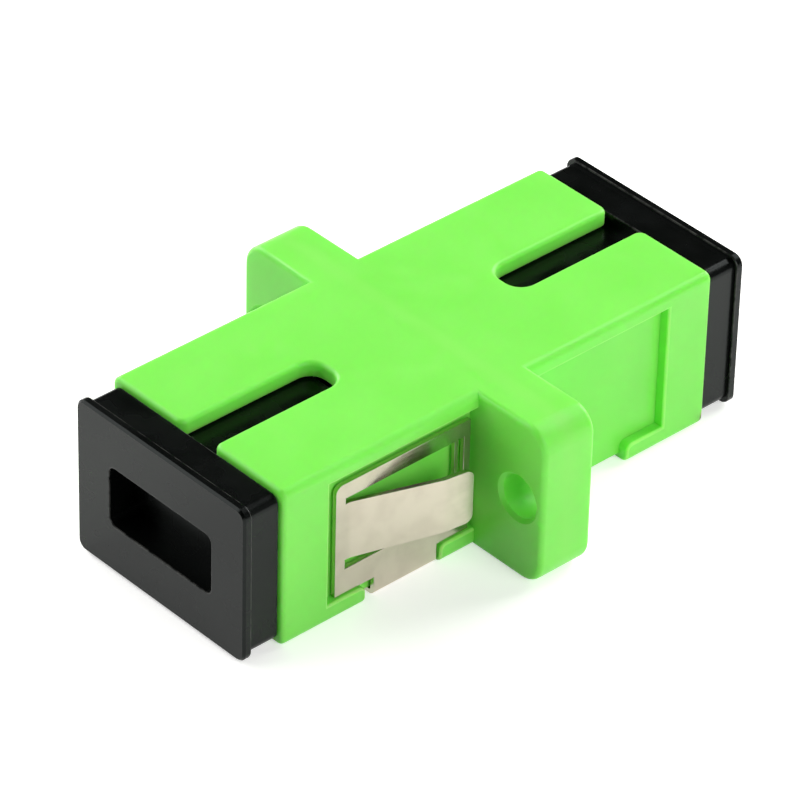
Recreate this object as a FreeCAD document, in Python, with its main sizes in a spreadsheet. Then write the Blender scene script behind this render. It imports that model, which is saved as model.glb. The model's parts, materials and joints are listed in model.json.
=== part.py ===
"""SC fibre adapter: two welded housing halves, a spring clip, inner latch inserts, a split sleeve and dust caps.

Frame: X across the adapter, Y along the fibre from the clip end to the plain end, Z up from the flat underside.
The mid plane of the flange, where the two halves are welded, is Y = 0. All sizes are in millimetres.
"""
import FreeCAD, Part
import math
import os
import re

import Sketcher

SIZES = {
    # housing half
    "body_width": 12.7,
    "body_height": 9.3,
    "half_length": 14.25,
    "body_edge_round": 0.45,
    "mouth_edge_round": 0.25,
    "flange_width": 22.2,
    "flange_half": 1.69,
    "flange_corner": 1.35,
    "flange_edge_round": 0.3,
    "weld_groove": 0.03,
    "port_side_wall": 1.75,
    "port_top_wall": 0.85,
    "port_lead": 0.25,
    "hole_margin": 1.8,
    "hole_radius": 1.2,
    "hole_chamfer": 0.2,
    # key slot in the top wall
    "slot_width": 2.3,
    "slot_reach": 8.4,
    "slot_end_round": 0.95,
    "slot_mouth_round": 0.5,
    # side recess that takes the spring clip
    "recess_mouth": 2.95,
    "recess_depth": 0.6,
    "recess_top_margin": 0.9,
    "ledge_height": 1.1,
    "ledge_round": 0.4,
    "channel_gap_mouth": 0.68,
    "channel_gap_flange": 0.08,
    "channel_edge_round": 0.12,
    # spring clip, one folded sheet
    "clip_sheet": 0.28,
    "clip_gap": 0.02,
    "clip_side_gap": 0.12,
    "clip_mouth_gap": 0.58,
    "clip_flange_gap": 0.27,
    "clip_top_gap": 0.6,
    "clip_ledge_gap": 0.05,
    "clip_bend": 0.08,
    "clip_corner": 0.45,
    "strap_width": 4.15,
    "strap_mouth_edge": 6.1,
    "window_mouth_margin": 0.64,
    "window_flange_margin": 1.02,
    "window_foot": 1.49,
    "window_top_margin": 0.91,
    "tongue_foot_gap": 0.54,
    "tongue_top_gap": 0.32,
    "tongue_bend_place": 5.13,
    "tongue_bend_rise": 1.5,
    "tongue_tip_gap": 1.55,
    "tongue_tip_rise": 1.7,
    "tongue_bend_round": 1.2,
    "tongue_taper": 0.27,
    "tongue_corner": 0.45,
    "barb_slot_width": 0.38,
    "barb_slot_margin": 0.43,
    "barb_slot_top_margin": 0.9,
    "barb_slot_foot": 1.77,
    # latch insert
    "seat_side_step": 0.7,
    "seat_top_step": 0.25,
    "plate_thickness": 1.2,
    "seat_gap": 0.1,
    "seat_end_gap": 0.05,
    "barrel_wall": 0.65,
    "barrel_lip": 0.75,
    "barrel_lip_gap": 0.1,
    "barrel_funnel": 0.45,
    "barrel_chamfer": 0.25,
    "latch_port_gap": 0.3,
    "latch_thickness": 0.75,
    "latch_width": 3.2,
    "latch_reach": 10.0,
    "latch_hook": 0.7,
    "latch_hook_length": 0.9,
    "latch_root_round": 0.4,
    # split alignment sleeve
    "sleeve_length": 11.4,
    "sleeve_bore_radius": 1.25,
    "sleeve_wall": 0.35,
    "sleeve_split": 0.5,
    "sleeve_gap": 0.05,
    "sleeve_end_gap": 0.05,
    "sleeve_chamfer": 0.12,
    # dust cap
    "cap_mouth_gap": 0.05,
    "cap_neck": 1.87,
    "cap_neck_inset": 0.2,
    "cap_neck_round": 0.55,
    "cap_rim": 0.5,
    "cap_rim_inset": 0.1,
    "cap_rim_round": 0.6,
    "cap_rim_edge": 0.12,
    "cap_plug_gap": 0.15,
    "cap_plug_length": 8.6,
    "cap_plug_wall": 0.75,
    "cap_plug_round": 0.35,
    "cap_plug_lead": 0.3,
    "cap_pocket_side": 2.45,
    "cap_pocket_top": 2.8,
    "cap_pocket_depth": 1.65,
    "cap_pocket_round": 0.45,
    "cap_web": 0.9,
    "cap_latch_gap": 0.35,
    "cap_latch_room": 0.65,
}

ALONG_X = FreeCAD.Vector(1, 0, 0)
ALONG_Y = FreeCAD.Vector(0, 1, 0)
ALONG_Z = FreeCAD.Vector(0, 0, 1)
HALF_TURN = FreeCAD.Rotation(ALONG_Z, 180)
SAME = 1e-4

doc = FreeCAD.newDocument("sc_fibre_adapter")
sheet = doc.addObject("Spreadsheet::Sheet", "Sizes")
for row, (word, value) in enumerate(SIZES.items(), start=1):
    sheet.set(f"A{row}", word)
    sheet.set(f"B{row}", str(value))
    sheet.setAlias(f"B{row}", word)
doc.recompute()


def bound(text):
    """The text with the sheet's name before each size, as an expression outside the sheet needs it."""
    return re.sub("[a-z_]+", lambda found: f"Sizes.{found.group()}", text)


def value_of(text):
    """The number that an expression on the sheet has now."""
    return float(sheet.evalExpression(text))


# places that several pieces share, each written once from the sheet's sizes
MIDDLE = "body_height / 2"
PORT_WIDTH = "( body_width - 2 * port_side_wall )"
PORT_HEIGHT = "( body_height - 2 * port_top_wall )"
HOLE_PLACE = "( flange_width / 2 - hole_margin )"
SEAT_WIDTH = "( body_width - 2 * port_side_wall + 2 * seat_side_step )"
SEAT_HEIGHT = "( body_height - 2 * port_top_wall + 2 * seat_top_step )"
SEAT_DEPTH = "( plate_thickness + seat_end_gap )"
RECESS_FLOOR = "( body_width / 2 - recess_depth )"
RECESS_TOP = "( body_height - recess_top_margin )"
RECESS_END = "( half_length - recess_mouth )"
CLIP_INNER = "( body_width / 2 - recess_depth + clip_side_gap )"
CLIP_OUTER = "( body_width / 2 - recess_depth + clip_side_gap + clip_sheet )"
CLIP_END = "( half_length - recess_mouth - clip_mouth_gap )"
CLIP_BACK = "( flange_half + clip_flange_gap )"
CLIP_TOP = "( body_height - recess_top_margin - clip_top_gap )"
CLIP_FOOT = "( ledge_height + clip_ledge_gap )"
STRAP_END = "( half_length - strap_mouth_edge )"
STRAP_BACK = "( half_length - strap_mouth_edge - strap_width )"
CHANNEL_DEPTH = "( clip_sheet + clip_gap )"
WINDOW_END = "( half_length - recess_mouth - clip_mouth_gap - window_mouth_margin )"
WINDOW_BACK = "( flange_half + clip_flange_gap + window_flange_margin )"
WINDOW_FOOT = "( ledge_height + clip_ledge_gap + window_foot )"
WINDOW_TOP = "( body_height - recess_top_margin - clip_top_gap - window_top_margin )"
TONGUE_FOOT = "( ledge_height + clip_ledge_gap + window_foot + tongue_foot_gap )"
TONGUE_BEND = "( half_length - recess_mouth - clip_mouth_gap - window_mouth_margin - tongue_bend_place )"
TONGUE_TIP = "( flange_half + tongue_tip_gap )"
HOLDER_RADIUS = "( sleeve_bore_radius + sleeve_wall + sleeve_gap )"
HOLDER_DEPTH = "( sleeve_length / 2 + sleeve_end_gap )"
BARREL_TIP = "( sleeve_length / 2 + sleeve_end_gap + barrel_lip )"
LATCH_OUTER = "( body_width / 2 - port_side_wall - latch_port_gap )"
LATCH_INNER = "( body_width / 2 - port_side_wall - latch_port_gap - latch_thickness )"
CAP_BACK = "( half_length + cap_mouth_gap )"
CAP_FRONT = "( half_length + cap_neck + cap_rim )"
PLUG_END = "( half_length - cap_plug_length )"
PLUG_WIDTH = "( body_width - 2 * port_side_wall - 2 * cap_plug_gap )"
PLUG_HEIGHT = "( body_height - 2 * port_top_wall - 2 * cap_plug_gap )"


def new_body(name):
    """A part design body whose label names the piece."""
    body = doc.addObject("PartDesign::Body", name)
    body.Label = name
    return body


def new_sketch(body, name, role, offset="0"):
    """A sketch on one of the body's origin planes, moved out along the plane's normal."""
    plane = next(item for item in body.Origin.OriginFeatures if item.Role == role)
    sketch = body.newObject("Sketcher::SketchObject", f"{body.Name}_{name}")
    sketch.AttachmentSupport = [(plane, "")]
    sketch.MapMode = "FlatFace"
    sketch.setExpression("AttachmentOffset.Base.z", bound(offset))
    return sketch


def bind_point(sketch, item, end, across, up, label):
    """Ties one point of a sketch to the sheet by its distances from the sketch's origin."""
    for kind, text in (("DistanceX", across), ("DistanceY", up)):
        number = sketch.addConstraint(Sketcher.Constraint(kind, -1, 1, item, end, value_of(text)))
        constraint = f"{label}_{kind[-1]}"
        sketch.renameConstraint(number, constraint)
        sketch.setExpression(f"Constraints.{constraint}", bound(text))


def outline(sketch, corners):
    """A closed outline of straight lines through corners that are each bound to the sheet."""
    points = [FreeCAD.Vector(value_of(across), value_of(up), 0) for across, up in corners]
    count = len(corners)
    for i in range(count):
        sketch.addGeometry(Part.LineSegment(points[i], points[(i + 1) % count]))
    for i in range(count):
        sketch.addConstraint(Sketcher.Constraint("Coincident", i, 2, (i + 1) % count, 1))
    for i, (across, up) in enumerate(corners):
        bind_point(sketch, i, 1, across, up, f"corner{i}")


def rectangle(sketch, left, right, low, high):
    """A rectangle given by its four sides."""
    outline(sketch, [(left, low), (right, low), (right, high), (left, high)])


def middle_rectangle(sketch, width, tall):
    """A rectangle centred on the adapter's axis."""
    rectangle(
        sketch,
        f"-( {width} ) / 2",
        f"( {width} ) / 2",
        f"{MIDDLE} - ( {tall} ) / 2",
        f"{MIDDLE} + ( {tall} ) / 2",
    )


def rounded_rectangle(sketch, width, tall, radius):
    """A rectangle with round corners, centred on the adapter's axis."""
    half_w, half_h, r = f"( {width} ) / 2", f"( {tall} ) / 2", f"{radius}"
    # each corner: its centre's side of the axis, and the angle in degrees where its arc starts
    turns = [(1, 1, 0), (-1, 1, 90), (-1, -1, 180), (1, -1, 270)]
    arcs = []
    for side, level, start in turns:
        centre = FreeCAD.Vector(
            side * (value_of(half_w) - value_of(r)),
            value_of(MIDDLE) + level * (value_of(half_h) - value_of(r)),
            0,
        )
        circle = Part.Circle(centre, ALONG_Z, value_of(r))
        arc = Part.ArcOfCircle(circle, math.radians(start), math.radians(start + 90))
        arcs.append(sketch.addGeometry(arc))
    for i, (side, level, start) in enumerate(turns):
        arc, after = arcs[i], arcs[(i + 1) % 4]
        line = sketch.addGeometry(
            Part.LineSegment(sketch.getPoint(arc, 2), sketch.getPoint(after, 1))
        )
        sketch.addConstraint(Sketcher.Constraint("Tangent", arc, 2, line, 1))
        sketch.addConstraint(Sketcher.Constraint("Tangent", line, 2, after, 1))
        bind_point(
            sketch,
            arc,
            3,
            f"{side} * ( {half_w} - {r} )",
            f"{MIDDLE} + {level} * ( {half_h} - {r} )",
            f"centre{i}",
        )
    number = sketch.addConstraint(Sketcher.Constraint("Radius", arcs[0], value_of(r)))
    sketch.renameConstraint(number, "round")
    sketch.setExpression("Constraints.round", bound(r))


def ring(sketch, radii, across="0"):
    """Circles about one point at the adapter's mid height."""
    for i, radius in enumerate(radii):
        centre = FreeCAD.Vector(value_of(across), value_of(MIDDLE), 0)
        item = sketch.addGeometry(Part.Circle(centre, ALONG_Z, value_of(radius)))
        bind_point(sketch, item, 3, across, MIDDLE, f"ring{i}")
        number = sketch.addConstraint(Sketcher.Constraint("Radius", item, value_of(radius)))
        sketch.renameConstraint(number, f"radius{i}")
        sketch.setExpression(f"Constraints.radius{i}", bound(radius))


def extrude(body, kind, sketch, length=None, backwards=False, both_ways=False):
    """A pad or pocket of a sketch: by a length, or through everything when no length is given."""
    feature = body.newObject(f"PartDesign::{kind}", f"{sketch.Name}_{kind.lower()}")
    feature.Profile = sketch
    if length is None:
        feature.Type = "ThroughAll"
    else:
        feature.setExpression("Length", bound(length))
    feature.Reversed = backwards
    if both_ways:
        feature.SideType = "Symmetric"
    sketch.Visibility = False
    doc.recompute()
    return feature


def pad(body, sketch, length, **choices):
    """Material added from a sketch."""
    return extrude(body, "Pad", sketch, length, **choices)


def pocket(body, sketch, length=None, **choices):
    """Material removed from a sketch; stops the build if nothing was cut."""
    before = body.Tip.Shape.Volume
    feature = extrude(body, "Pocket", sketch, length, **choices)
    if not feature.isValid() or feature.Shape.Volume >= before - SAME:
        raise RuntimeError(f"{feature.Name} cuts nothing: {feature.getStatusString()}")
    return feature


def groove(body, sketch):
    """Material removed by a full turn of a sketch about its own upright axis."""
    before = body.Tip.Shape.Volume
    feature = body.newObject("PartDesign::Groove", f"{sketch.Name}_groove")
    feature.Profile = sketch
    feature.ReferenceAxis = (sketch, ["V_Axis"])
    feature.Angle = 360
    sketch.Visibility = False
    doc.recompute()
    if not feature.isValid() or feature.Shape.Volume >= before - SAME:
        raise RuntimeError(f"{feature.Name} cuts nothing: {feature.getStatusString()}")
    return feature


def mirror(body, feature, role="YZ_Plane"):
    """The same feature on the other side of one of the body's origin planes."""
    plane = next(item for item in body.Origin.OriginFeatures if item.Role == role)
    copy = body.newObject("PartDesign::Mirrored", f"{feature.Name}_mirrored")
    copy.Originals = [feature]
    copy.MirrorPlane = (plane, [""])
    body.Tip = copy
    doc.recompute()
    return copy


def dress(body, kind, size_word, test):
    """A fillet or chamfer on each edge of the body's last feature that passes the test."""
    base = body.Tip
    names = [f"Edge{i}" for i, edge in enumerate(base.Shape.Edges, start=1) if test(edge)]
    if not names:
        raise RuntimeError(f"{body.Name}: no edge for {size_word}")
    word = size_word.split()[0]
    feature = body.newObject(f"PartDesign::{kind}", f"{body.Name}_{word}")
    feature.Base = (base, names)
    feature.setExpression("Radius" if kind == "Fillet" else "Size", bound(size_word))
    doc.recompute()
    if not feature.isValid():
        raise RuntimeError(f"{feature.Name}: {feature.getStatusString()}")
    return feature


def along(edge, axis):
    """Whether an edge is straight and runs along an axis."""
    if edge.Curve.TypeId != "Part::GeomLine":
        return False
    return abs(edge.tangentAt(edge.FirstParameter) * axis) > 1 - SAME


def at(edge, **places):
    """Whether the whole edge lies at the given x, y or z."""
    box = edge.BoundBox
    spans = {"x": (box.XMin, box.XMax), "y": (box.YMin, box.YMax), "z": (box.ZMin, box.ZMax)}
    return all(
        abs(spans[name][0] - place) < 1e-3 and abs(spans[name][1] - place) < 1e-3
        for name, place in places.items()
    )


def x_span(edge):
    """How far left and right an edge reaches."""
    return edge.BoundBox.XMin, edge.BoundBox.XMax


def at_side(edge, place):
    """Whether the whole edge lies at a distance from the adapter's long mid plane, on either side."""
    return at(edge, x=place) or at(edge, x=-place)


def housing_half(name, turn):
    """One moulded half: a rectangular port with half of the flange, a key slot and two side recesses."""
    body = new_body(name)
    height = value_of("body_height")
    mouth = -value_of("half_length")

    # half of the flange, with round corners and softened edges on its outer face
    sketch = new_sketch(body, "flange", "XZ_Plane")
    rounded_rectangle(sketch, "flange_width", "body_height", "flange_corner")
    pad(body, sketch, "flange_half")
    face = -value_of("flange_half")
    dress(body, "Fillet", "flange_edge_round", lambda edge: at(edge, y=face))

    # the long body behind it
    sketch = new_sketch(body, "shell", "XZ_Plane")
    rounded_rectangle(sketch, "body_width", "body_height", "body_edge_round")
    pad(body, sketch, "half_length")

    # the port for the plug, and the wider seat for the insert's plate at the weld
    sketch = new_sketch(body, "port", "XZ_Plane")
    middle_rectangle(sketch, PORT_WIDTH, PORT_HEIGHT)
    pocket(body, sketch, backwards=True)
    port_side = value_of(f"{PORT_WIDTH} / 2")
    dress(
        body,
        "Chamfer",
        "port_lead",
        lambda edge: at(edge, y=mouth) and max(map(abs, x_span(edge))) <= port_side + SAME,
    )
    sketch = new_sketch(body, "seat", "XZ_Plane")
    middle_rectangle(sketch, SEAT_WIDTH, SEAT_HEIGHT)
    pocket(body, sketch, SEAT_DEPTH, backwards=True)

    # the key slot through the top wall, open at the mouth
    sketch = new_sketch(body, "key_slot", "XY_Plane", "body_height")
    rectangle(
        sketch,
        "-slot_width / 2",
        "slot_width / 2",
        "-half_length - slot_width",
        "-( half_length - slot_reach )",
    )
    pocket(body, sketch, "port_top_wall + slot_width / 2")
    slot_side = value_of("slot_width / 2")
    slot_end = -value_of("half_length - slot_reach")
    dress(
        body,
        "Fillet",
        "slot_end_round",
        lambda edge: along(edge, ALONG_Z) and at(edge, y=slot_end) and at_side(edge, slot_side),
    )
    dress(
        body,
        "Fillet",
        "slot_mouth_round",
        lambda edge: along(edge, ALONG_Z) and at(edge, y=mouth) and at_side(edge, slot_side),
    )
    dress(
        body,
        "Fillet",
        "mouth_edge_round",
        lambda edge: at(edge, y=mouth) and (at(edge, z=0) or at(edge, z=height)),
    )

    # the side recess, with a ledge along its foot that is open where the clip's strap goes under
    sketch = new_sketch(body, "recess", "YZ_Plane", RECESS_FLOOR)
    outline(
        sketch,
        [
            (f"-{RECESS_END}", RECESS_TOP),
            (f"-{RECESS_END}", "ledge_height"),
            (f"-( {STRAP_END} + channel_gap_mouth )", "ledge_height"),
            (f"-( {STRAP_END} + channel_gap_mouth )", "-ledge_height"),
            (f"-( {STRAP_BACK} - channel_gap_flange )", "-ledge_height"),
            (f"-( {STRAP_BACK} - channel_gap_flange )", "ledge_height"),
            ("-flange_half", "ledge_height"),
            ("-flange_half", RECESS_TOP),
        ],
    )
    recess = pocket(body, sketch, "body_width", backwards=True)
    mirror(body, recess)
    ledge_ends = [
        -value_of(f"{STRAP_END} + channel_gap_mouth"),
        -value_of(f"{STRAP_BACK} - channel_gap_flange"),
    ]
    ledge = value_of("ledge_height")
    dress(
        body,
        "Fillet",
        "ledge_round",
        lambda edge: along(edge, ALONG_X)
        and any(at(edge, y=place, z=ledge) for place in ledge_ends),
    )

    # the shallow channel under the body for the strap
    sketch = new_sketch(body, "channel", "XY_Plane")
    rectangle(
        sketch,
        "-body_width",
        "body_width",
        f"-( {STRAP_END} + channel_gap_mouth )",
        f"-( {STRAP_BACK} - channel_gap_flange )",
    )
    pocket(body, sketch, CHANNEL_DEPTH, backwards=True)
    floor = value_of(RECESS_FLOOR)
    channel = value_of(CHANNEL_DEPTH)
    dress(
        body,
        "Fillet",
        "channel_edge_round",
        lambda edge: along(edge, ALONG_Y) and at_side(edge, floor) and at(edge, z=channel),
    )

    # one screw hole through each ear of the flange
    sketch = new_sketch(body, "screw_hole", "XZ_Plane")
    ring(sketch, ["hole_radius"], HOLE_PLACE)
    hole = pocket(body, sketch, "half_length", backwards=True)
    mirror(body, hole)
    radius = value_of("hole_radius")
    dress(
        body,
        "Chamfer",
        "hole_chamfer",
        lambda edge: at(edge, y=face) and edge.Curve.TypeId == "Part::GeomCircle"
        and abs(edge.Curve.Radius - radius) < SAME,
    )

    # a fine groove along the weld
    half_flange = value_of("flange_width / 2")
    dress(
        body,
        "Chamfer",
        "weld_groove",
        lambda edge: at(edge, y=0)
        and (at(edge, z=0) or at(edge, z=height) or at_side(edge, half_flange)
             or (edge.Curve.TypeId == "Part::GeomCircle"
                 and abs(edge.Curve.Radius - value_of("flange_corner")) < SAME)),
    )
    body.Placement = FreeCAD.Placement(FreeCAD.Vector(), turn)
    return body


def latch_insert(name, turn):
    """One inner moulding: a plate at the weld, half of the sleeve's holder and two latch arms."""
    body = new_body(name)

    sketch = new_sketch(body, "plate", "XZ_Plane")
    middle_rectangle(sketch, f"{SEAT_WIDTH} - 2 * seat_gap", f"{SEAT_HEIGHT} - 2 * seat_gap")
    pad(body, sketch, "plate_thickness")

    # the barrel that holds half of the split sleeve, behind a lip that funnels the ferrule in
    sketch = new_sketch(body, "barrel", "XZ_Plane")
    ring(sketch, [f"{HOLDER_RADIUS} + barrel_wall"])
    pad(body, sketch, BARREL_TIP)
    tip = -value_of(BARREL_TIP)
    dress(body, "Chamfer", "barrel_chamfer", lambda edge: at(edge, y=tip))
    sketch = new_sketch(body, "holder", "XZ_Plane")
    ring(sketch, [HOLDER_RADIUS])
    pocket(body, sketch, HOLDER_DEPTH, backwards=True)
    sketch = new_sketch(body, "funnel", "XY_Plane", MIDDLE)
    lip = "sleeve_bore_radius + barrel_lip_gap"
    outline(
        sketch,
        [
            ("0", f"-{HOLDER_DEPTH} + sleeve_end_gap"),
            (lip, f"-{HOLDER_DEPTH} + sleeve_end_gap"),
            (lip, f"-{HOLDER_DEPTH}"),
            (f"{lip} + barrel_funnel", f"-{BARREL_TIP}"),
            ("0", f"-{BARREL_TIP}"),
        ],
    )
    groove(body, sketch)

    # a latch arm with a hook that a plug rides over, and its twin across the middle
    sketch = new_sketch(body, "latch", "XY_Plane", MIDDLE)
    outline(
        sketch,
        [
            (LATCH_INNER, "-plate_thickness / 2"),
            (LATCH_INNER, "-( latch_reach - latch_hook_length )"),
            (f"{LATCH_INNER} - latch_hook", "-( latch_reach - latch_hook_length )"),
            (f"{LATCH_INNER} - latch_hook", "-( latch_reach - latch_hook_length / 2 )"),
            (LATCH_INNER, "-latch_reach"),
            (LATCH_OUTER, "-latch_reach"),
            (LATCH_OUTER, "-plate_thickness / 2"),
        ],
    )
    arm = pad(body, sketch, "latch_width", both_ways=True)
    mirror(body, arm)
    root = -value_of("plate_thickness")
    side = value_of(LATCH_INNER)
    dress(
        body,
        "Fillet",
        "latch_root_round",
        lambda edge: along(edge, ALONG_Z) and at(edge, y=root) and at_side(edge, side),
    )
    body.Placement = FreeCAD.Placement(FreeCAD.Vector(), turn)
    return body


def split_sleeve(name):
    """The slotted tube that lines up the two ferrules."""
    body = new_body(name)
    sketch = new_sketch(body, "tube", "XZ_Plane")
    ring(sketch, ["sleeve_bore_radius", "sleeve_bore_radius + sleeve_wall"])
    pad(body, sketch, "sleeve_length", both_ways=True)
    end = value_of("sleeve_length / 2")
    dress(
        body,
        "Chamfer",
        "sleeve_chamfer",
        lambda edge: at(edge, y=end) or at(edge, y=-end),
    )
    sketch = new_sketch(body, "split", "XY_Plane", MIDDLE)
    rectangle(
        sketch,
        "-sleeve_split / 2",
        "sleeve_split / 2",
        "-sleeve_length",
        "sleeve_length",
    )
    pocket(body, sketch, "body_height", backwards=True)
    return body


def mounting_clip(name):
    """The spring clip: one sheet folded under the body, with a window and a sprung tongue in each side."""
    body = new_body(name)

    # the folded sheet seen from its end, as long as its side plates
    sketch = new_sketch(body, "fold", "XZ_Plane", CLIP_BACK)
    outline(
        sketch,
        [
            (f"-{CLIP_OUTER}", "0"),
            (CLIP_OUTER, "0"),
            (CLIP_OUTER, CLIP_TOP),
            (CLIP_INNER, CLIP_TOP),
            (CLIP_INNER, "clip_sheet"),
            (f"-{CLIP_INNER}", "clip_sheet"),
            (f"-{CLIP_INNER}", CLIP_TOP),
            (f"-{CLIP_OUTER}", CLIP_TOP),
        ],
    )
    pad(body, sketch, f"{CLIP_END} - {CLIP_BACK}")
    inner = value_of(CLIP_INNER)
    outer = value_of(CLIP_OUTER)
    thickness = value_of("clip_sheet")
    dress(
        body,
        "Fillet",
        "clip_bend",
        lambda edge: along(edge, ALONG_Y) and at_side(edge, inner) and at(edge, z=thickness),
    )
    dress(
        body,
        "Fillet",
        "clip_bend + clip_sheet",
        lambda edge: along(edge, ALONG_Y) and at_side(edge, outer) and at(edge, z=0),
    )

    # what is cut away below the side plates, on both ends of the strap
    for side, places in (
        ("mouth", (f"-{CLIP_END} - clip_sheet", f"-{STRAP_END}")),
        ("flange", (f"-{STRAP_BACK}", f"-{CLIP_BACK} + clip_flange_gap / 2")),
    ):
        sketch = new_sketch(body, f"{side}_relief", "YZ_Plane")
        rectangle(sketch, *places, "-clip_sheet", CLIP_FOOT)
        pocket(body, sketch, "2 * body_width", both_ways=True)

    # the window and the narrow slot beside it
    sketch = new_sketch(body, "window", "YZ_Plane")
    rectangle(sketch, f"-{WINDOW_END}", f"-{WINDOW_BACK}", WINDOW_FOOT, WINDOW_TOP)
    pocket(body, sketch, "2 * body_width", both_ways=True)
    sketch = new_sketch(body, "barb_slot", "YZ_Plane")
    rectangle(
        sketch,
        f"-{CLIP_BACK} - barb_slot_margin - barb_slot_width",
        f"-{CLIP_BACK} - barb_slot_margin",
        f"{CLIP_FOOT} + barb_slot_foot",
        f"{CLIP_TOP} - barb_slot_top_margin",
    )
    pocket(body, sketch, "2 * body_width", both_ways=True)

    # the tongue: it leaves the window's mouth end, slopes out and ends in a flatter tip
    sketch = new_sketch(body, "tongue", "XY_Plane", TONGUE_FOOT)
    line = [
        ("0", f"-{WINDOW_END} - clip_sheet"),
        ("0", f"-{WINDOW_END} + clip_sheet"),
        ("tongue_bend_rise", f"-{TONGUE_BEND}"),
        ("tongue_tip_rise", f"-{TONGUE_TIP}"),
    ]
    outer_line = [(f"{CLIP_OUTER} + {rise}", place) for rise, place in line]
    inner_line = [(f"{CLIP_INNER} + {rise}", place) for rise, place in line]
    outline(sketch, outer_line + inner_line[::-1])
    tall = f"{WINDOW_TOP} - tongue_top_gap - {TONGUE_FOOT}"
    tongue = pad(body, sketch, tall)
    mirror(body, tongue)
    bends = [-value_of(TONGUE_BEND), value_of(f"-{WINDOW_END} + clip_sheet")]
    dress(
        body,
        "Fillet",
        "tongue_bend_round",
        lambda edge: along(edge, ALONG_Z) and any(at(edge, y=place) for place in bends)
        and edge.Length > value_of(tall) - SAME,
    )

    # the tongue's upper edge falls a little toward its tip
    sketch = new_sketch(body, "taper", "YZ_Plane")
    outline(
        sketch,
        [
            (f"-{WINDOW_END}", f"{WINDOW_TOP} - tongue_top_gap"),
            (f"-{WINDOW_BACK}", f"{WINDOW_TOP} - tongue_top_gap - tongue_taper"),
            (f"-{WINDOW_BACK}", f"{WINDOW_TOP} - tongue_top_gap / 2"),
        ],
    )
    pocket(body, sketch, "2 * body_width", both_ways=True)
    tip = -value_of(TONGUE_TIP)
    dress(
        body,
        "Fillet",
        "tongue_corner",
        lambda edge: along(edge, ALONG_X) and at(edge, y=tip),
    )
    end = -value_of(CLIP_END)
    top = value_of(CLIP_TOP)
    dress(
        body,
        "Fillet",
        "clip_corner",
        lambda edge: along(edge, ALONG_X) and at(edge, y=end, z=top),
    )
    return body


def dust_cap(name, turn):
    """A moulded cap: a rim with a grip pocket, a neck, and a hollow plug that fills the port."""
    body = new_body(name)

    # the neck stands on the mouth, the rim on the neck, and the plug reaches into the port
    sketch = new_sketch(body, "neck", "XZ_Plane", CAP_BACK)
    rounded_rectangle(
        sketch,
        "body_width - 2 * cap_rim_inset - 2 * cap_neck_inset",
        "body_height - 2 * cap_rim_inset - 2 * cap_neck_inset",
        "cap_neck_round",
    )
    pad(body, sketch, f"{CAP_FRONT} - {CAP_BACK}")
    sketch = new_sketch(body, "rim", "XZ_Plane", f"{CAP_FRONT} - cap_rim")
    rounded_rectangle(
        sketch,
        "body_width - 2 * cap_rim_inset",
        "body_height - 2 * cap_rim_inset",
        "cap_rim_round",
    )
    pad(body, sketch, "cap_rim")
    front = -value_of(CAP_FRONT)
    dress(body, "Chamfer", "cap_rim_edge", lambda edge: at(edge, y=front))
    sketch = new_sketch(body, "plug", "XZ_Plane", PLUG_END)
    rounded_rectangle(sketch, PLUG_WIDTH, PLUG_HEIGHT, "cap_plug_round")
    pad(body, sketch, f"{CAP_BACK} - {PLUG_END} + cap_rim")
    end = -value_of(PLUG_END)
    dress(body, "Chamfer", "cap_plug_lead", lambda edge: at(edge, y=end))

    # the grip pocket in the front, and the hollow behind its floor
    sketch = new_sketch(body, "grip", "XZ_Plane", CAP_FRONT)
    rounded_rectangle(
        sketch,
        "body_width - 2 * cap_rim_inset - 2 * cap_pocket_side",
        "body_height - 2 * cap_rim_inset - 2 * cap_pocket_top",
        "cap_pocket_round",
    )
    pocket(body, sketch, "cap_pocket_depth")
    sketch = new_sketch(body, "hollow", "XZ_Plane", PLUG_END)
    middle_rectangle(
        sketch, f"{PLUG_WIDTH} - 2 * cap_plug_wall", f"{PLUG_HEIGHT} - 2 * cap_plug_wall"
    )
    pocket(
        body, sketch, f"{CAP_FRONT} - cap_pocket_depth - cap_web - {PLUG_END}", backwards=True
    )

    # open slots in the plug's sides, where the latch arms stand
    sketch = new_sketch(body, "latch_slots", "YZ_Plane")
    half = "( latch_width / 2 + cap_latch_gap )"
    rectangle(
        sketch,
        "-( latch_reach + cap_latch_room )",
        f"-{PLUG_END} + cap_plug_lead",
        f"{MIDDLE} - {half}",
        f"{MIDDLE} + {half}",
    )
    pocket(body, sketch, "2 * body_width", both_ways=True)
    body.Placement = FreeCAD.Placement(FreeCAD.Vector(), turn)
    return body


def check(pieces):
    """Stops the build if any object of the document failed or any piece isn't one valid solid."""
    for item in doc.Objects:
        if "Invalid" in item.State or "Error" in item.State:
            raise RuntimeError(f"{item.Name} failed: {item.State}")
    for piece in pieces:
        shape = piece.Shape
        if shape.isNull() or not shape.isValid() or len(shape.Solids) != 1:
            raise RuntimeError(f"{piece.Label} isn't one valid solid")


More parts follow.
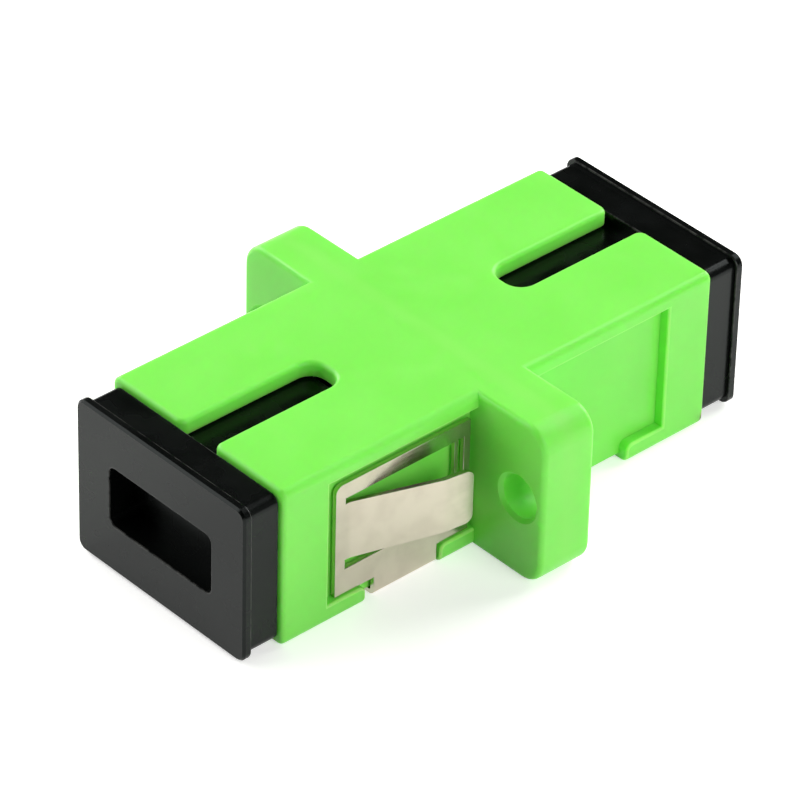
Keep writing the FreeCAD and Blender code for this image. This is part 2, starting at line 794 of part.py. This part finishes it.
def build():
    """Models every piece in place and writes one file for each."""
    straight = FreeCAD.Rotation()
    pieces = [
        housing_half("housing_front", straight),
        housing_half("housing_rear", HALF_TURN),
        mounting_clip("mounting_clip"),
        latch_insert("latch_insert_front", straight),
        latch_insert("latch_insert_rear", HALF_TURN),
        split_sleeve("split_sleeve"),
        dust_cap("dust_cap_front", straight),
        dust_cap("dust_cap_rear", HALF_TURN),
    ]
    doc.recompute()
    check(pieces)
    os.makedirs("parts", exist_ok=True)
    for piece in pieces:
        piece.Shape.exportStep(os.path.join("parts", f"{piece.Label}.step"))
        box = piece.Shape.BoundBox
        print(
            f"{piece.Label}: {piece.Shape.Volume:.2f} mm3,"
            f" x {box.XMin:.2f} to {box.XMax:.2f},"
            f" y {box.YMin:.2f} to {box.YMax:.2f},"
            f" z {box.ZMin:.2f} to {box.ZMax:.2f}"
        )


build()
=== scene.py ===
"""Looks of an SC fibre adapter: green housings, a steel clip, charcoal dust caps and the pieces inside.

Every length is in metres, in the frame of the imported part. Each visible piece is its CAD node's own mesh,
merged, with the sharp edges of the housing, clip and caps rounded, and a finish of its own.
"""

import json
import logging
import math
from collections.abc import Callable
from dataclasses import dataclass
from enum import Enum

import bmesh
import bpy
from mathutils import Matrix, Vector

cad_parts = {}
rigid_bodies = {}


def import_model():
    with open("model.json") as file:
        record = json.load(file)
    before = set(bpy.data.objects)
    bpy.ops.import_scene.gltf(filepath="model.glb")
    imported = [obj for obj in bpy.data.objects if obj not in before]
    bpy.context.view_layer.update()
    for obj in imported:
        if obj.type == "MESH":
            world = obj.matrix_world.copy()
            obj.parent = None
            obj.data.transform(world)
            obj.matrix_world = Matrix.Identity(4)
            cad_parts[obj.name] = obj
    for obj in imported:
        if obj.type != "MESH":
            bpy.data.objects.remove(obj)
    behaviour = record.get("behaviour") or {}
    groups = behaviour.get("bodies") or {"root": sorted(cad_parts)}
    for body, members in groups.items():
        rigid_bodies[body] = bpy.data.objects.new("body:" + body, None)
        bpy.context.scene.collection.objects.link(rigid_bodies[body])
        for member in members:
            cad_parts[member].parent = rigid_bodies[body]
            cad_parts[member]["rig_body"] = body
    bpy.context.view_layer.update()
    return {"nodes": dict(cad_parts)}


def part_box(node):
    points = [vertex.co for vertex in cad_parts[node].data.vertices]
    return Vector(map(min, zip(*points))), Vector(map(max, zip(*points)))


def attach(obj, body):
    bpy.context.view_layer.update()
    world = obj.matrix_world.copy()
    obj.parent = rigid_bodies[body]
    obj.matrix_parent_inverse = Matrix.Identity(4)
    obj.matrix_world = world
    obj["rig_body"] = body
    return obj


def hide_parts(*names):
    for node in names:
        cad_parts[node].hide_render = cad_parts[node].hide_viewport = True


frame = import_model()

log = logging.getLogger("adapter")
MM = 0.001
MERGE_DISTANCE = 0.0005 * MM
SMALLEST_LENGTH = 1e-12
Colour = tuple[float, float, float]
Place = tuple[float, float, float]
EdgeTest = Callable[[bmesh.types.BMEdge], bool]


class Side(Enum):
    """Which end of the adapter a piece belongs to, by the ending of its node's name."""

    FRONT = "front"
    REAR = "rear"


class Graph:
    """A material's node tree, with short ways to add and join its nodes."""

    def __init__(self, name: str) -> None:
        """Starts an empty tree with a principled shader and an output.

        Args:
            name: The material's name.
        """
        self.material = bpy.data.materials.new(name)
        self.material.use_nodes = True
        self.tree = self.material.node_tree
        self.tree.nodes.clear()
        self.shader = self.tree.nodes.new("ShaderNodeBsdfPrincipled")
        output = self.tree.nodes.new("ShaderNodeOutputMaterial")
        self.join(self.shader.outputs[0], output.inputs["Surface"])
        self.place = self.tree.nodes.new("ShaderNodeTexCoord").outputs["Object"]

    def join(self, out: bpy.types.NodeSocket, into: bpy.types.NodeSocket) -> None:
        """Links one socket to another."""
        self.tree.links.new(out, into)

    def set(self, **values: float | Colour) -> None:
        """Sets the shader's own sockets.

        Args:
            values: Each socket's name, with underscores for its spaces, and its value.
        """
        for name, value in values.items():
            socket = self.shader.inputs[name.replace("_", " ").title().replace("Ior", "IOR")]
            socket.default_value = (*value, 1.0) if socket.type == "RGBA" else value

    def mapped(self, scale: Place) -> bpy.types.NodeSocket:
        """Object coordinates stretched for a pattern with a direction.

        Args:
            scale: How much finer the pattern is along X, Y and Z.

        Returns:
            The stretched coordinates.
        """
        node = self.tree.nodes.new("ShaderNodeMapping")
        node.inputs["Scale"].default_value = scale
        self.join(self.place, node.inputs["Vector"])
        return node.outputs[0]

    def noise(
        self, size: float, detail: float = 2.0, stretch: Place | None = None
    ) -> bpy.types.NodeSocket:
        """A soft random pattern.

        Args:
            size: The pattern's grain in metres.
            detail: How many finer layers it has.
            stretch: How much finer it is along each axis, if it has a direction.

        Returns:
            The pattern's factor.
        """
        node = self.tree.nodes.new("ShaderNodeTexNoise")
        node.inputs["Scale"].default_value = 1 / size
        node.inputs["Detail"].default_value = detail
        self.join(self.mapped(stretch) if stretch else self.place, node.inputs["Vector"])
        return node.outputs["Fac"]

    def ramp(
        self, value: bpy.types.NodeSocket, low: float, high: float, start: float, end: float
    ) -> bpy.types.NodeSocket:
        """A value moved smoothly from one range to another.

        Args:
            value: What is moved.
            low: Where the source range starts.
            high: Where the source range ends.
            start: The result at the source range's start.
            end: The result at the source range's end.

        Returns:
            The moved value.
        """
        node = self.tree.nodes.new("ShaderNodeMapRange")
        node.interpolation_type = "SMOOTHSTEP"
        self.join(value, node.inputs["Value"])
        for name, number in (("From Min", low), ("From Max", high), ("To Min", start), ("To Max", end)):
            node.inputs[name].default_value = number
        return node.outputs["Result"]

    def mix(
        self,
        share: bpy.types.NodeSocket,
        first: Colour | bpy.types.NodeSocket,
        second: Colour | bpy.types.NodeSocket,
    ) -> bpy.types.NodeSocket:
        """Two colours mixed.

        Args:
            share: How much of the second colour there is.
            first: The colour at a share of 0.
            second: The colour at a share of 1.

        Returns:
            The mixed colour.
        """
        node = self.tree.nodes.new("ShaderNodeMix")
        node.data_type = "RGBA"
        self.join(share, node.inputs["Factor"])
        for name, colour in (("A", first), ("B", second)):
            socket = next(i for i in node.inputs if i.name == name and i.type == "RGBA")
            if isinstance(colour, tuple):
                socket.default_value = (*colour, 1.0)
            else:
                self.join(colour, socket)
        return next(o for o in node.outputs if o.type == "RGBA")

    def wear_and_highlight(self) -> bpy.types.NodeSocket:
        """How strongly a place takes the paler edge colour: a painted highlight, and on the caps wear as
        well.

        Returns:
            The share, 1 on a piece's rounded edges and 0 on its flats.
        """
        node = self.tree.nodes.new("ShaderNodeAttribute")
        node.attribute_name = "wear_and_highlight"
        return node.outputs["Fac"]

    def from_weld(self) -> bpy.types.NodeSocket:
        """How far a place is from the weld between the two halves.

        Returns:
            The distance in metres.
        """
        parts = self.tree.nodes.new("ShaderNodeSeparateXYZ")
        self.join(self.place, parts.inputs[0])
        node = self.tree.nodes.new("ShaderNodeMath")
        node.operation = "ABSOLUTE"
        self.join(parts.outputs["Y"], node.inputs[0])
        return node.outputs[0]

    def bump(self, height: bpy.types.NodeSocket, depth: float, strength: float) -> None:
        """Fine relief on the whole surface.

        Args:
            height: The relief's pattern, from 0 to 1.
            depth: The relief's full depth in metres.
            strength: How strongly it shows.
        """
        node = self.tree.nodes.new("ShaderNodeBump")
        node.inputs["Distance"].default_value = depth
        node.inputs["Strength"].default_value = strength
        self.join(height, node.inputs["Height"])
        self.join(node.outputs[0], self.shader.inputs["Normal"])

    def multiply(self, first: bpy.types.NodeSocket, second: bpy.types.NodeSocket) -> bpy.types.NodeSocket:
        """The product of two values.

        Args:
            first: One value.
            second: The other value.

        Returns:
            Their product.
        """
        node = self.tree.nodes.new("ShaderNodeMath")
        node.operation = "MULTIPLY"
        self.join(first, node.inputs[0])
        self.join(second, node.inputs[1])
        return node.outputs[0]


@dataclass(frozen=True)
class TintedPlastic:
    """A satin moulding with light passing through it.

    Attributes:
        name: The material's name.
        slot: The record's material slot that it stands for.
        colour: The colour of its body.
        thin: The colour in its paler clouds.
        edge: The colour on its rounded edges, a painted highlight.
        roughness: How matt its surface is.
        inside: How much of the light passes into it.
        depth: How far that light travels.
        ior: How strongly its surface reflects.
        weld: How near a weld the light inside fades out, or 0 where there is none.
        reach: How far red, green and blue light travel in it, as shares of the depth.
        cloud_size: The grain of its paler clouds.
        gloss_patch: The grain of its more and less matt patches.
        gloss_spread: How much the patches differ from its roughness.
        relief_grain: The grain of its fine relief.
        relief_depth: The depth of its fine relief.
        relief_strength: How strongly the relief shows.
    """

    name: str
    slot: str
    colour: Colour
    thin: Colour
    edge: Colour
    roughness: float
    inside: float
    depth: float
    ior: float = 1.5
    weld: float = 0.0
    reach: Colour = (0.55, 1.0, 0.35)
    cloud_size: float = 3.5 * MM
    gloss_patch: float = 1.2 * MM
    gloss_spread: float = 0.05
    relief_grain: float = 0.09 * MM
    relief_depth: float = 0.0015 * MM
    relief_strength: float = 0.5

    def material(self) -> bpy.types.Material:
        """Makes the finish.

        Returns:
            The finish's material.
        """
        graph = Graph(self.name)
        cloud = graph.ramp(graph.noise(self.cloud_size), low=0.3, high=0.7, start=0.0, end=1.0)
        body = graph.mix(cloud, self.colour, self.thin)
        # Painted highlight: the rounded edges are mixed towards the paler edge colour.
        edge_wear_and_highlight = graph.ramp(graph.wear_and_highlight(), low=0.0, high=1.0, start=0.0, end=0.8)
        graph.join(graph.mix(edge_wear_and_highlight, body, self.edge), graph.shader.inputs["Base Color"])
        patches = graph.noise(self.gloss_patch, detail=3.0)
        least, most = self.roughness - self.gloss_spread, self.roughness + self.gloss_spread
        rough = graph.ramp(patches, low=0.3, high=0.7, start=least, end=most)
        graph.join(rough, graph.shader.inputs["Roughness"])
        graph.set(
            IOR=self.ior,
            Subsurface_Weight=self.inside,
            Subsurface_Radius=self.reach,
            Subsurface_Scale=self.depth,
        )
        if self.weld > 0.0:
            inside = graph.ramp(graph.from_weld(), low=0.0, high=self.weld, start=0.0, end=self.inside)
            graph.join(inside, graph.shader.inputs["Subsurface Weight"])
        graph.bump(graph.noise(self.relief_grain), self.relief_depth, self.relief_strength)
        return graph.material


@dataclass(frozen=True)
class SootPlastic:
    """A dark moulding, semi-matt, with scuffs and paler edges, partly wear and partly a painted highlight
    along the rims.

    Attributes:
        name: The material's name.
        slot: The record's material slot that it stands for.
        colour: The colour of its body.
        scuffed: The colour of its scuffs.
        edge_wear_and_highlight: The colour of its paler edges, partly wear and partly a painted highlight.
        roughness: How matt its surface is.
        ior: How strongly its surface reflects.
        sheen: The colour of its reflections.
        scuff_size: The grain of its scuffs.
        wear_patch: The grain by which the paler colour on its edges is broken up.
        gloss_patch: The grain of its more and less matt patches.
        relief_grain: The grain of its fine relief.
        relief_depth: The depth of its fine relief.
        relief_strength: How strongly the relief shows.
    """

    name: str
    slot: str
    colour: Colour
    scuffed: Colour
    edge_wear_and_highlight: Colour
    roughness: float
    ior: float = 1.3
    sheen: Colour = (0.9, 1.0, 0.97)
    scuff_size: float = 1.6 * MM
    wear_patch: float = 0.5 * MM
    gloss_patch: float = 2.4 * MM
    relief_grain: float = 0.14 * MM
    relief_depth: float = 0.003 * MM
    relief_strength: float = 0.45

    def material(self) -> bpy.types.Material:
        """Makes the finish.

        Returns:
            The finish's material.
        """
        graph = Graph(self.name)
        scuffs = graph.noise(self.scuff_size, detail=4.0)
        scuffs = graph.ramp(scuffs, low=0.42, high=0.75, start=0.0, end=0.3)
        body = graph.mix(scuffs, self.colour, self.scuffed)
        broken = graph.noise(self.wear_patch, detail=3.0)
        broken = graph.ramp(broken, low=0.35, high=0.6, start=0.1, end=0.9)
        # Paler edges: wear broken up in patches, and a painted highlight along the rims.
        edge_wear_and_highlight = graph.multiply(graph.wear_and_highlight(), broken)
        graph.join(graph.mix(edge_wear_and_highlight, body, self.edge_wear_and_highlight), graph.shader.inputs["Base Color"])
        least, most = self.roughness - 0.03, self.roughness + 0.05
        rough = graph.ramp(graph.noise(self.gloss_patch), low=0.3, high=0.7, start=least, end=most)
        graph.join(rough, graph.shader.inputs["Roughness"])
        graph.set(IOR=self.ior, Specular_Tint=self.sheen)
        relief = graph.noise(self.relief_grain, detail=3.0)
        graph.bump(relief, self.relief_depth, self.relief_strength)
        return graph.material


@dataclass(frozen=True)
class SpringSteel:
    """Thin bright rolled sheet with a fine grain along its length.

    Attributes:
        name: The material's name.
        slot: The record's material slot that it stands for.
        colour: The colour of the clean metal.
        stained: The colour of its faint stains.
        roughness: How matt its surface is.
        stain_size: The grain of its stains.
        grain_size: The grain of its rolling marks.
        grain_stretch: How much finer the rolling marks are along X, Y and Z.
        grain_gloss: How much the rolling marks differ from its roughness.
        relief_depth: The depth of the rolling marks.
        relief_strength: How strongly the rolling marks show.
    """

    name: str
    slot: str
    colour: Colour
    stained: Colour
    roughness: float
    stain_size: float = 1.3 * MM
    grain_size: float = 0.35 * MM
    grain_stretch: Place = (1.0, 0.25, 3.0)
    grain_gloss: float = 0.03
    relief_depth: float = 0.0006 * MM
    relief_strength: float = 0.4

    def material(self) -> bpy.types.Material:
        """Makes the finish.

        Returns:
            The finish's material.
        """
        graph = Graph(self.name)
        stains = graph.noise(self.stain_size, detail=3.0)
        stains = graph.ramp(stains, low=0.35, high=0.7, start=0.0, end=1.0)
        graph.join(graph.mix(stains, self.colour, self.stained), graph.shader.inputs["Base Color"])
        grain = graph.noise(self.grain_size, stretch=self.grain_stretch)
        least, most = self.roughness - self.grain_gloss, self.roughness + self.grain_gloss
        rough = graph.ramp(grain, low=0.3, high=0.7, start=least, end=most)
        graph.join(rough, graph.shader.inputs["Roughness"])
        graph.set(Metallic=1.0)
        graph.bump(grain, self.relief_depth, self.relief_strength)
        return graph.material


class Piece:
    """One piece of the part: its node's mesh merged, rounded and dressed."""

    coplanar = 0.6

    def __init__(self, node: str) -> None:
        """Copies a node's mesh and merges its loose triangles into whole faces.

        Args:
            node: The CAD node that the piece stands for.
        """
        self.node = node
        source = frame["nodes"][node]
        self.body = source["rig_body"]
        self.mesh = bmesh.new()
        self.mesh.from_mesh(source.data)
        bmesh.ops.remove_doubles(self.mesh, verts=self.mesh.verts, dist=MERGE_DISTANCE)
        bmesh.ops.dissolve_limit(
            self.mesh,
            angle_limit=math.radians(self.coplanar),
            verts=self.mesh.verts,
            edges=self.mesh.edges,
            use_dissolve_boundaries=False,
        )
        # Marks rounded edges for a paler colour: a painted highlight, and on the caps wear as well.
        self.edge_wear_and_highlight = self.mesh.faces.layers.float.new("wear_and_highlight")

    def level_weld(self, groove: float, share: float) -> None:
        """Raises the bottom of the fine groove along the weld towards the surface.

        Args:
            groove: The groove's width on this piece.
            share: How far it is raised, from 0 for not at all to 1 for level.
        """
        near = 0.1 * groove
        for vert in self.mesh.verts:
            if abs(vert.co.y) > near:
                continue
            for edge in vert.link_edges:
                outer = edge.other_vert(vert).co
                if abs(abs(outer.y) - groove) < near:
                    vert.co.x += (outer.x - vert.co.x) * share
                    vert.co.z += (outer.z - vert.co.z) * share
                    break

    def soften(self, width: float, segments: int, test: EdgeTest, least: float = 60.0) -> None:
        """Rounds the sharp outward edges that pass a test, and marks the roundings for the paler edge
        colour, a painted highlight and on the caps wear as well.

        Args:
            width: How far the rounding reaches from the edge.
            segments: How many steps the rounding has.
            test: Which edges are rounded.
            least: The smallest angle in degrees at which an edge counts as sharp.
        """
        limit = math.radians(least)
        joined = [edge for edge in self.mesh.edges if len(edge.link_faces) == 2 and edge.is_convex]
        edges = [edge for edge in joined if edge.calc_face_angle(0.0) > limit and test(edge)]
        if not edges:
            log.warning("%s: nothing to round", self.node)
            return
        made = bmesh.ops.bevel(
            self.mesh,
            geom=edges,
            offset=width,
            offset_type="OFFSET",
            segments=segments,
            profile=0.5,
            affect="EDGES",
            clamp_overlap=False,
            material=-1,
            loop_slide=True,
            miter_outer="SHARP",
            miter_inner="SHARP",
        )
        # The new roundings take the paler edge colour, a painted highlight.
        for face in made["faces"]:
            face[self.edge_wear_and_highlight] = 1.0

    def flats(self, bend: float = 0.8) -> tuple[list[int], list[float]]:
        """Sorts the faces into flats: neighbours that lie in one plane.

        Args:
            bend: The angle in degrees up to which a neighbour still lies in the plane.

        Returns:
            The number of each face's flat, and each flat's area.
        """
        self.mesh.normal_update()
        self.mesh.faces.index_update()
        limit = math.radians(bend)
        flat_of = [-1] * len(self.mesh.faces)
        areas: list[float] = []
        for seed in self.mesh.faces:
            if flat_of[seed.index] >= 0:
                continue
            flat_of[seed.index] = len(areas)
            waiting, area = [seed], 0.0
            while waiting:
                face = waiting.pop()
                area += face.calc_area()
                for edge in face.edges:
                    for other in edge.link_faces:
                        if flat_of[other.index] < 0 and other.normal.angle(seed.normal, math.pi) < limit:
                            flat_of[other.index] = len(areas)
                            waiting.append(other)
            areas.append(area)
        return flat_of, areas

    def shade(self, smooth: float) -> None:
        """Gives every corner a normal: flats stay flat and roundings run smoothly into them.

        Args:
            smooth: The angle in degrees above which an edge stays sharp.
        """
        flat_of, areas = self.flats()
        limit = math.radians(smooth)
        kept = self.mesh.loops.layers.float_vector.new("corner_normal")
        for vert in self.mesh.verts:
            around = set(vert.link_faces)
            while around:
                fan = [around.pop()]
                for face in fan:
                    for edge in face.edges:
                        if vert not in edge.verts or edge.calc_face_angle(math.pi) > limit:
                            continue
                        for other in edge.link_faces:
                            if other in around:
                                around.discard(other)
                                fan.append(other)
                total = Vector()
                for flat in {flat_of[face.index] for face in fan}:
                    face = next(face for face in fan if flat_of[face.index] == flat)
                    total += face.normal * (areas[flat] / MM**2) ** 2
                for face in fan:
                    loop = next(loop for loop in face.loops if loop.vert is vert)
                    loop[kept] = total.normalized() if total.length > SMALLEST_LENGTH else face.normal

    def finish(self, material: bpy.types.Material, slot: str, smooth: float = 40.0) -> None:
        """Turns the mesh into the piece's object and hides the node that it stands for.

        Args:
            material: The piece's finish.
            slot: The material slot of the record that it takes its finish from. It is not used.
            smooth: The angle in degrees above which an edge stays sharp.
        """
        bmesh.ops.remove_doubles(self.mesh, verts=self.mesh.verts, dist=MERGE_DISTANCE)
        self.shade(smooth)
        bmesh.ops.triangulate(self.mesh, faces=[f for f in self.mesh.faces if len(f.verts) > 4])
        data = bpy.data.meshes.new(f"{self.node}_look")
        self.mesh.to_mesh(data)
        self.mesh.free()
        for face in data.polygons:
            face.use_smooth = True
        kept = data.attributes["corner_normal"]
        data.normals_split_custom_set([value.vector.copy() for value in kept.data])
        data.attributes.remove(data.attributes["corner_normal"])
        data.materials.append(material)
        thing = bpy.data.objects.new(f"{self.node}_look", data)
        bpy.context.scene.collection.objects.link(thing)
        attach(thing, self.body)
        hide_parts(self.node)
        log.info("%s: %d faces", thing.name, len(data.polygons))


def middle(edge: bmesh.types.BMEdge) -> Vector:
    """The middle of an edge."""
    return (edge.verts[0].co + edge.verts[1].co) / 2


@dataclass(frozen=True)
class Lamp:
    """A square soft light that faces the part from one direction."""

    name: str
    towards: Place
    size: float
    power: float


LAMPS = (
    Lamp("back_box", (0.0, 1.0, 0.6), 0.5, 5.0),
    Lamp("left_box", (-1.0, 0.0, 0.5), 0.5, 4.0),
    Lamp("front_box", (-0.6, -0.6, 0.6), 0.5, 2.0),
    Lamp("right_box", (1.0, 0.0, 0.5), 0.5, 3.0),
)


@dataclass
class Studio:
    """The floor, the soft lights, the world and the camera."""

    floor_size: float = 3.0
    floor_drop: float = 0.00002
    floor_colour: Colour = (0.92, 0.915, 0.89)
    floor_lift: float = 0.5
    lamp_distance: float = 0.7
    world_level: float = 0.0
    sensor: float = 36.0
    focal: float = 253.1
    nearest: float = 0.01
    farthest: float = 20.0
    eye: Place = (0.16586, -0.1554, 0.16877)
    azimuth: float = 47.05
    elevation: float = 35.84
    roll: float = 1.49

    def floor(self) -> None:
        """A wide pale floor just under the part, white to the camera and to reflections."""
        mesh = bmesh.new()
        bmesh.ops.create_grid(mesh, x_segments=1, y_segments=1, size=self.floor_size)
        bmesh.ops.translate(mesh, verts=mesh.verts, vec=(0, 0, -self.floor_drop))
        data = bpy.data.meshes.new("floor")
        mesh.to_mesh(data)
        mesh.free()
        material = bpy.data.materials.new("floor")
        material.use_nodes = True
        tree = material.node_tree
        tree.nodes.clear()
        output = tree.nodes.new("ShaderNodeOutputMaterial")
        diffuse = tree.nodes.new("ShaderNodeBsdfDiffuse")
        diffuse.inputs["Color"].default_value = (*self.floor_colour, 1.0)
        glow = tree.nodes.new("ShaderNodeEmission")
        path = tree.nodes.new("ShaderNodeLightPath")
        total = None
        for name in ("Is Camera Ray", "Is Glossy Ray", "Is Transmission Ray"):
            scaled = tree.nodes.new("ShaderNodeMath")
            scaled.operation = "MULTIPLY"
            scaled.inputs[1].default_value = self.floor_lift
            tree.links.new(path.outputs[name], scaled.inputs[0])
            if total is None:
                total = scaled.outputs[0]
                continue
            larger = tree.nodes.new("ShaderNodeMath")
            larger.operation = "MAXIMUM"
            tree.links.new(total, larger.inputs[0])
            tree.links.new(scaled.outputs[0], larger.inputs[1])
            total = larger.outputs[0]
        tree.links.new(total, glow.inputs["Strength"])
        both = tree.nodes.new("ShaderNodeAddShader")
        tree.links.new(diffuse.outputs[0], both.inputs[0])
        tree.links.new(glow.outputs[0], both.inputs[1])
        tree.links.new(both.outputs[0], output.inputs["Surface"])
        data.materials.append(material)
        floor = bpy.data.objects.new("floor", data)
        bpy.context.scene.collection.objects.link(floor)

    def shine(self, lamp: Lamp) -> None:
        """Adds a square soft light that faces the part.

        Args:
            lamp: The light's place, size and power.
        """
        data = bpy.data.lights.new(lamp.name, "AREA")
        data.shape = "SQUARE"
        data.size = lamp.size
        data.energy = lamp.power
        light = bpy.data.objects.new(lamp.name, data)
        way = Vector(lamp.towards).normalized()
        light.location = way * self.lamp_distance
        light.rotation_mode = "QUATERNION"
        light.rotation_quaternion = way.to_track_quat("Z", "Y")
        bpy.context.scene.collection.objects.link(light)

    def world(self) -> None:
        """A surround of one level, black at 0, so that the lamps and the floor give the light."""
        world = bpy.data.worlds.new("surround")
        world.use_nodes = True
        background = world.node_tree.nodes["Background"]
        background.inputs["Color"].default_value = (1.0, 1.0, 1.0, 1.0)
        background.inputs["Strength"].default_value = self.world_level
        bpy.context.scene.world = world

    def camera(self) -> None:
        """The camera, at the angle that shows the clip, both slots and both caps."""
        data = bpy.data.cameras.new("camera")
        data.sensor_width = self.sensor
        data.lens = self.focal
        data.clip_start, data.clip_end = self.nearest, self.farthest
        camera = bpy.data.objects.new("camera", data)
        a, e, r = (math.radians(x) for x in (self.azimuth, self.elevation, self.roll))
        back = Vector((math.sin(a) * math.cos(e), -math.cos(a) * math.cos(e), math.sin(e)))
        right = Vector((math.cos(a), math.sin(a), 0.0))
        up = back.cross(right)
        turned = right * math.cos(r) + up * math.sin(r)
        upright = up * math.cos(r) - right * math.sin(r)
        facing = Matrix((turned, upright, back)).transposed().to_4x4()
        camera.matrix_world = Matrix.Translation(self.eye) @ facing
        bpy.context.scene.collection.objects.link(camera)
        bpy.context.scene.camera = camera

    def build(self) -> None:
        """Sets up the whole studio."""
        self.floor()
        self.world()
        for lamp in LAMPS:
            self.shine(lamp)
        self.camera()
        bpy.context.scene.view_settings.view_transform = "Standard"


GREEN = TintedPlastic(
    name="green_plastic",
    slot="housing",
    colour=(0.23, 0.82, 0.1),
    thin=(0.245, 0.84, 0.11),
    # The paler edge colour is a painted highlight on the housing's rounded edges.
    edge=(0.4, 0.96, 0.2),
    roughness=0.36,
    inside=1.0,
    depth=0.5 * MM,
    ior=1.42,
    weld=0.7 * MM,
)
NATURAL = TintedPlastic(
    name="natural_plastic",
    slot="insert",
    colour=(0.74, 0.73, 0.66),
    thin=(0.78, 0.77, 0.70),
    edge=(0.85, 0.84, 0.78),
    roughness=0.4,
    inside=0.3,
    depth=0.6 * MM,
)
CERAMIC = TintedPlastic(
    name="white_ceramic",
    slot="sleeve",
    colour=(0.88, 0.88, 0.85),
    thin=(0.9, 0.9, 0.87),
    edge=(0.94, 0.94, 0.92),
    roughness=0.22,
    inside=0.1,
    depth=0.3 * MM,
)
CHARCOAL = SootPlastic(
    name="charcoal_plastic",
    slot="cap",
    colour=(0.0015, 0.002, 0.0017),
    scuffed=(0.004, 0.0048, 0.0042),
    # The paler edge colour is partly wear and partly a painted highlight along the rims.
    edge_wear_and_highlight=(0.05, 0.05, 0.047),
    roughness=0.24,
)
STEEL = SpringSteel(
    name="spring_steel",
    slot="clip",
    colour=(0.58, 0.53, 0.435),
    stained=(0.53, 0.48, 0.39),
    roughness=0.22,
)


@dataclass
class Housing:
    """The two welded halves of the green housing."""

    edge: float = 0.13 * MM
    edge_steps: int = 3
    ear_edge: float = 0.26 * MM
    ear_steps: int = 4
    ear_inner: float = 7.8 * MM
    ear_outer: float = 10.0 * MM
    ear_thickness: float = 1.69 * MM
    ear_rim: float = 0.5 * MM
    port_half_width: float = 4.9 * MM
    port_half_height: float = 4.0 * MM
    mouth_start: float = 13.8 * MM
    mouth_corner: float = 5.4 * MM
    seam_clear: float = 0.3 * MM
    weld_groove: float = 0.03 * MM
    weld_fill: float = 0.85
    exactness: float = 0.01 * MM

    def half(self, side: Side) -> None:
        """One half with its outer edges rounded.

        Args:
            side: Which half.
        """
        piece = Piece(f"housing_{side.value}")
        low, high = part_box(piece.node)
        middle_height = (low.z + high.z) / 2

        def outside(edge: bmesh.types.BMEdge) -> bool:
            """Whether an edge is on the outside, away from the weld and the port.

            Args:
                edge: The edge.

            Returns:
                Whether it takes the housing's own rounding.
            """
            at = middle(edge)
            in_port = abs(at.x) < self.port_half_width and abs(at.z - middle_height) < self.port_half_height
            at_corner = abs(at.y) > self.mouth_start and abs(at.x) > self.mouth_corner
            return not in_port and not at_corner and abs(at.y) > self.seam_clear

        def on_ear(edge: bmesh.types.BMEdge) -> bool:
            """Whether an edge runs round an ear's face.

            Args:
                edge: The edge.

            Returns:
                Whether it takes the ear's larger rounding.
            """
            at = middle(edge)
            at_rim = abs(at.x) > self.ear_outer or min(at.z - low.z, high.z - at.z) < self.ear_rim
            on_face = abs(abs(at.y) - self.ear_thickness) < self.exactness
            return abs(at.x) > self.ear_inner and at_rim and on_face

        piece.level_weld(self.weld_groove, self.weld_fill)
        piece.soften(self.ear_edge, self.ear_steps, on_ear)
        piece.soften(self.edge, self.edge_steps, outside)
        piece.finish(GREEN.material(), GREEN.slot)

    def build(self) -> None:
        """Makes both halves."""
        self.half(Side.FRONT)
        self.half(Side.REAR)


@dataclass
class Clip:
    """The folded spring clip."""

    edge: float = 0.035 * MM
    edge_steps: int = 2

    def build(self) -> None:
        """Makes the clip."""
        piece = Piece("mounting_clip")
        piece.soften(self.edge, self.edge_steps, lambda edge: True)
        piece.finish(STEEL.material(), STEEL.slot)


@dataclass
class DustCaps:
    """The two pull-off caps."""

    edge: float = 0.08 * MM
    edge_steps: int = 2
    outside: float = 14.2 * MM

    def cap(self, side: Side) -> None:
        """One cap.

        Args:
            side: Which end it closes.
        """
        piece = Piece(f"dust_cap_{side.value}")
        piece.soften(self.edge, self.edge_steps, lambda edge: abs(middle(edge).y) > self.outside)
        piece.finish(CHARCOAL.material(), CHARCOAL.slot)

    def build(self) -> None:
        """Makes both caps."""
        self.cap(Side.FRONT)
        self.cap(Side.REAR)


class Inside:
    """The latch inserts and the split sleeve between them."""

    def build(self) -> None:
        """Makes the three inner pieces."""
        for node, finish in (
            ("latch_insert_front", NATURAL),
            ("latch_insert_rear", NATURAL),
            ("split_sleeve", CERAMIC),
        ):
            Piece(node).finish(finish.material(), finish.slot)


def main() -> None:
    """Builds every piece and the studio."""
    logging.basicConfig(level=logging.INFO, format="%(name)s: %(message)s")
    for group in (Housing(), Clip(), DustCaps(), Inside()):
        log.info("building %s", type(group).__name__)
        group.build()
    Studio().build()


if __name__ == "__main__":
    main()
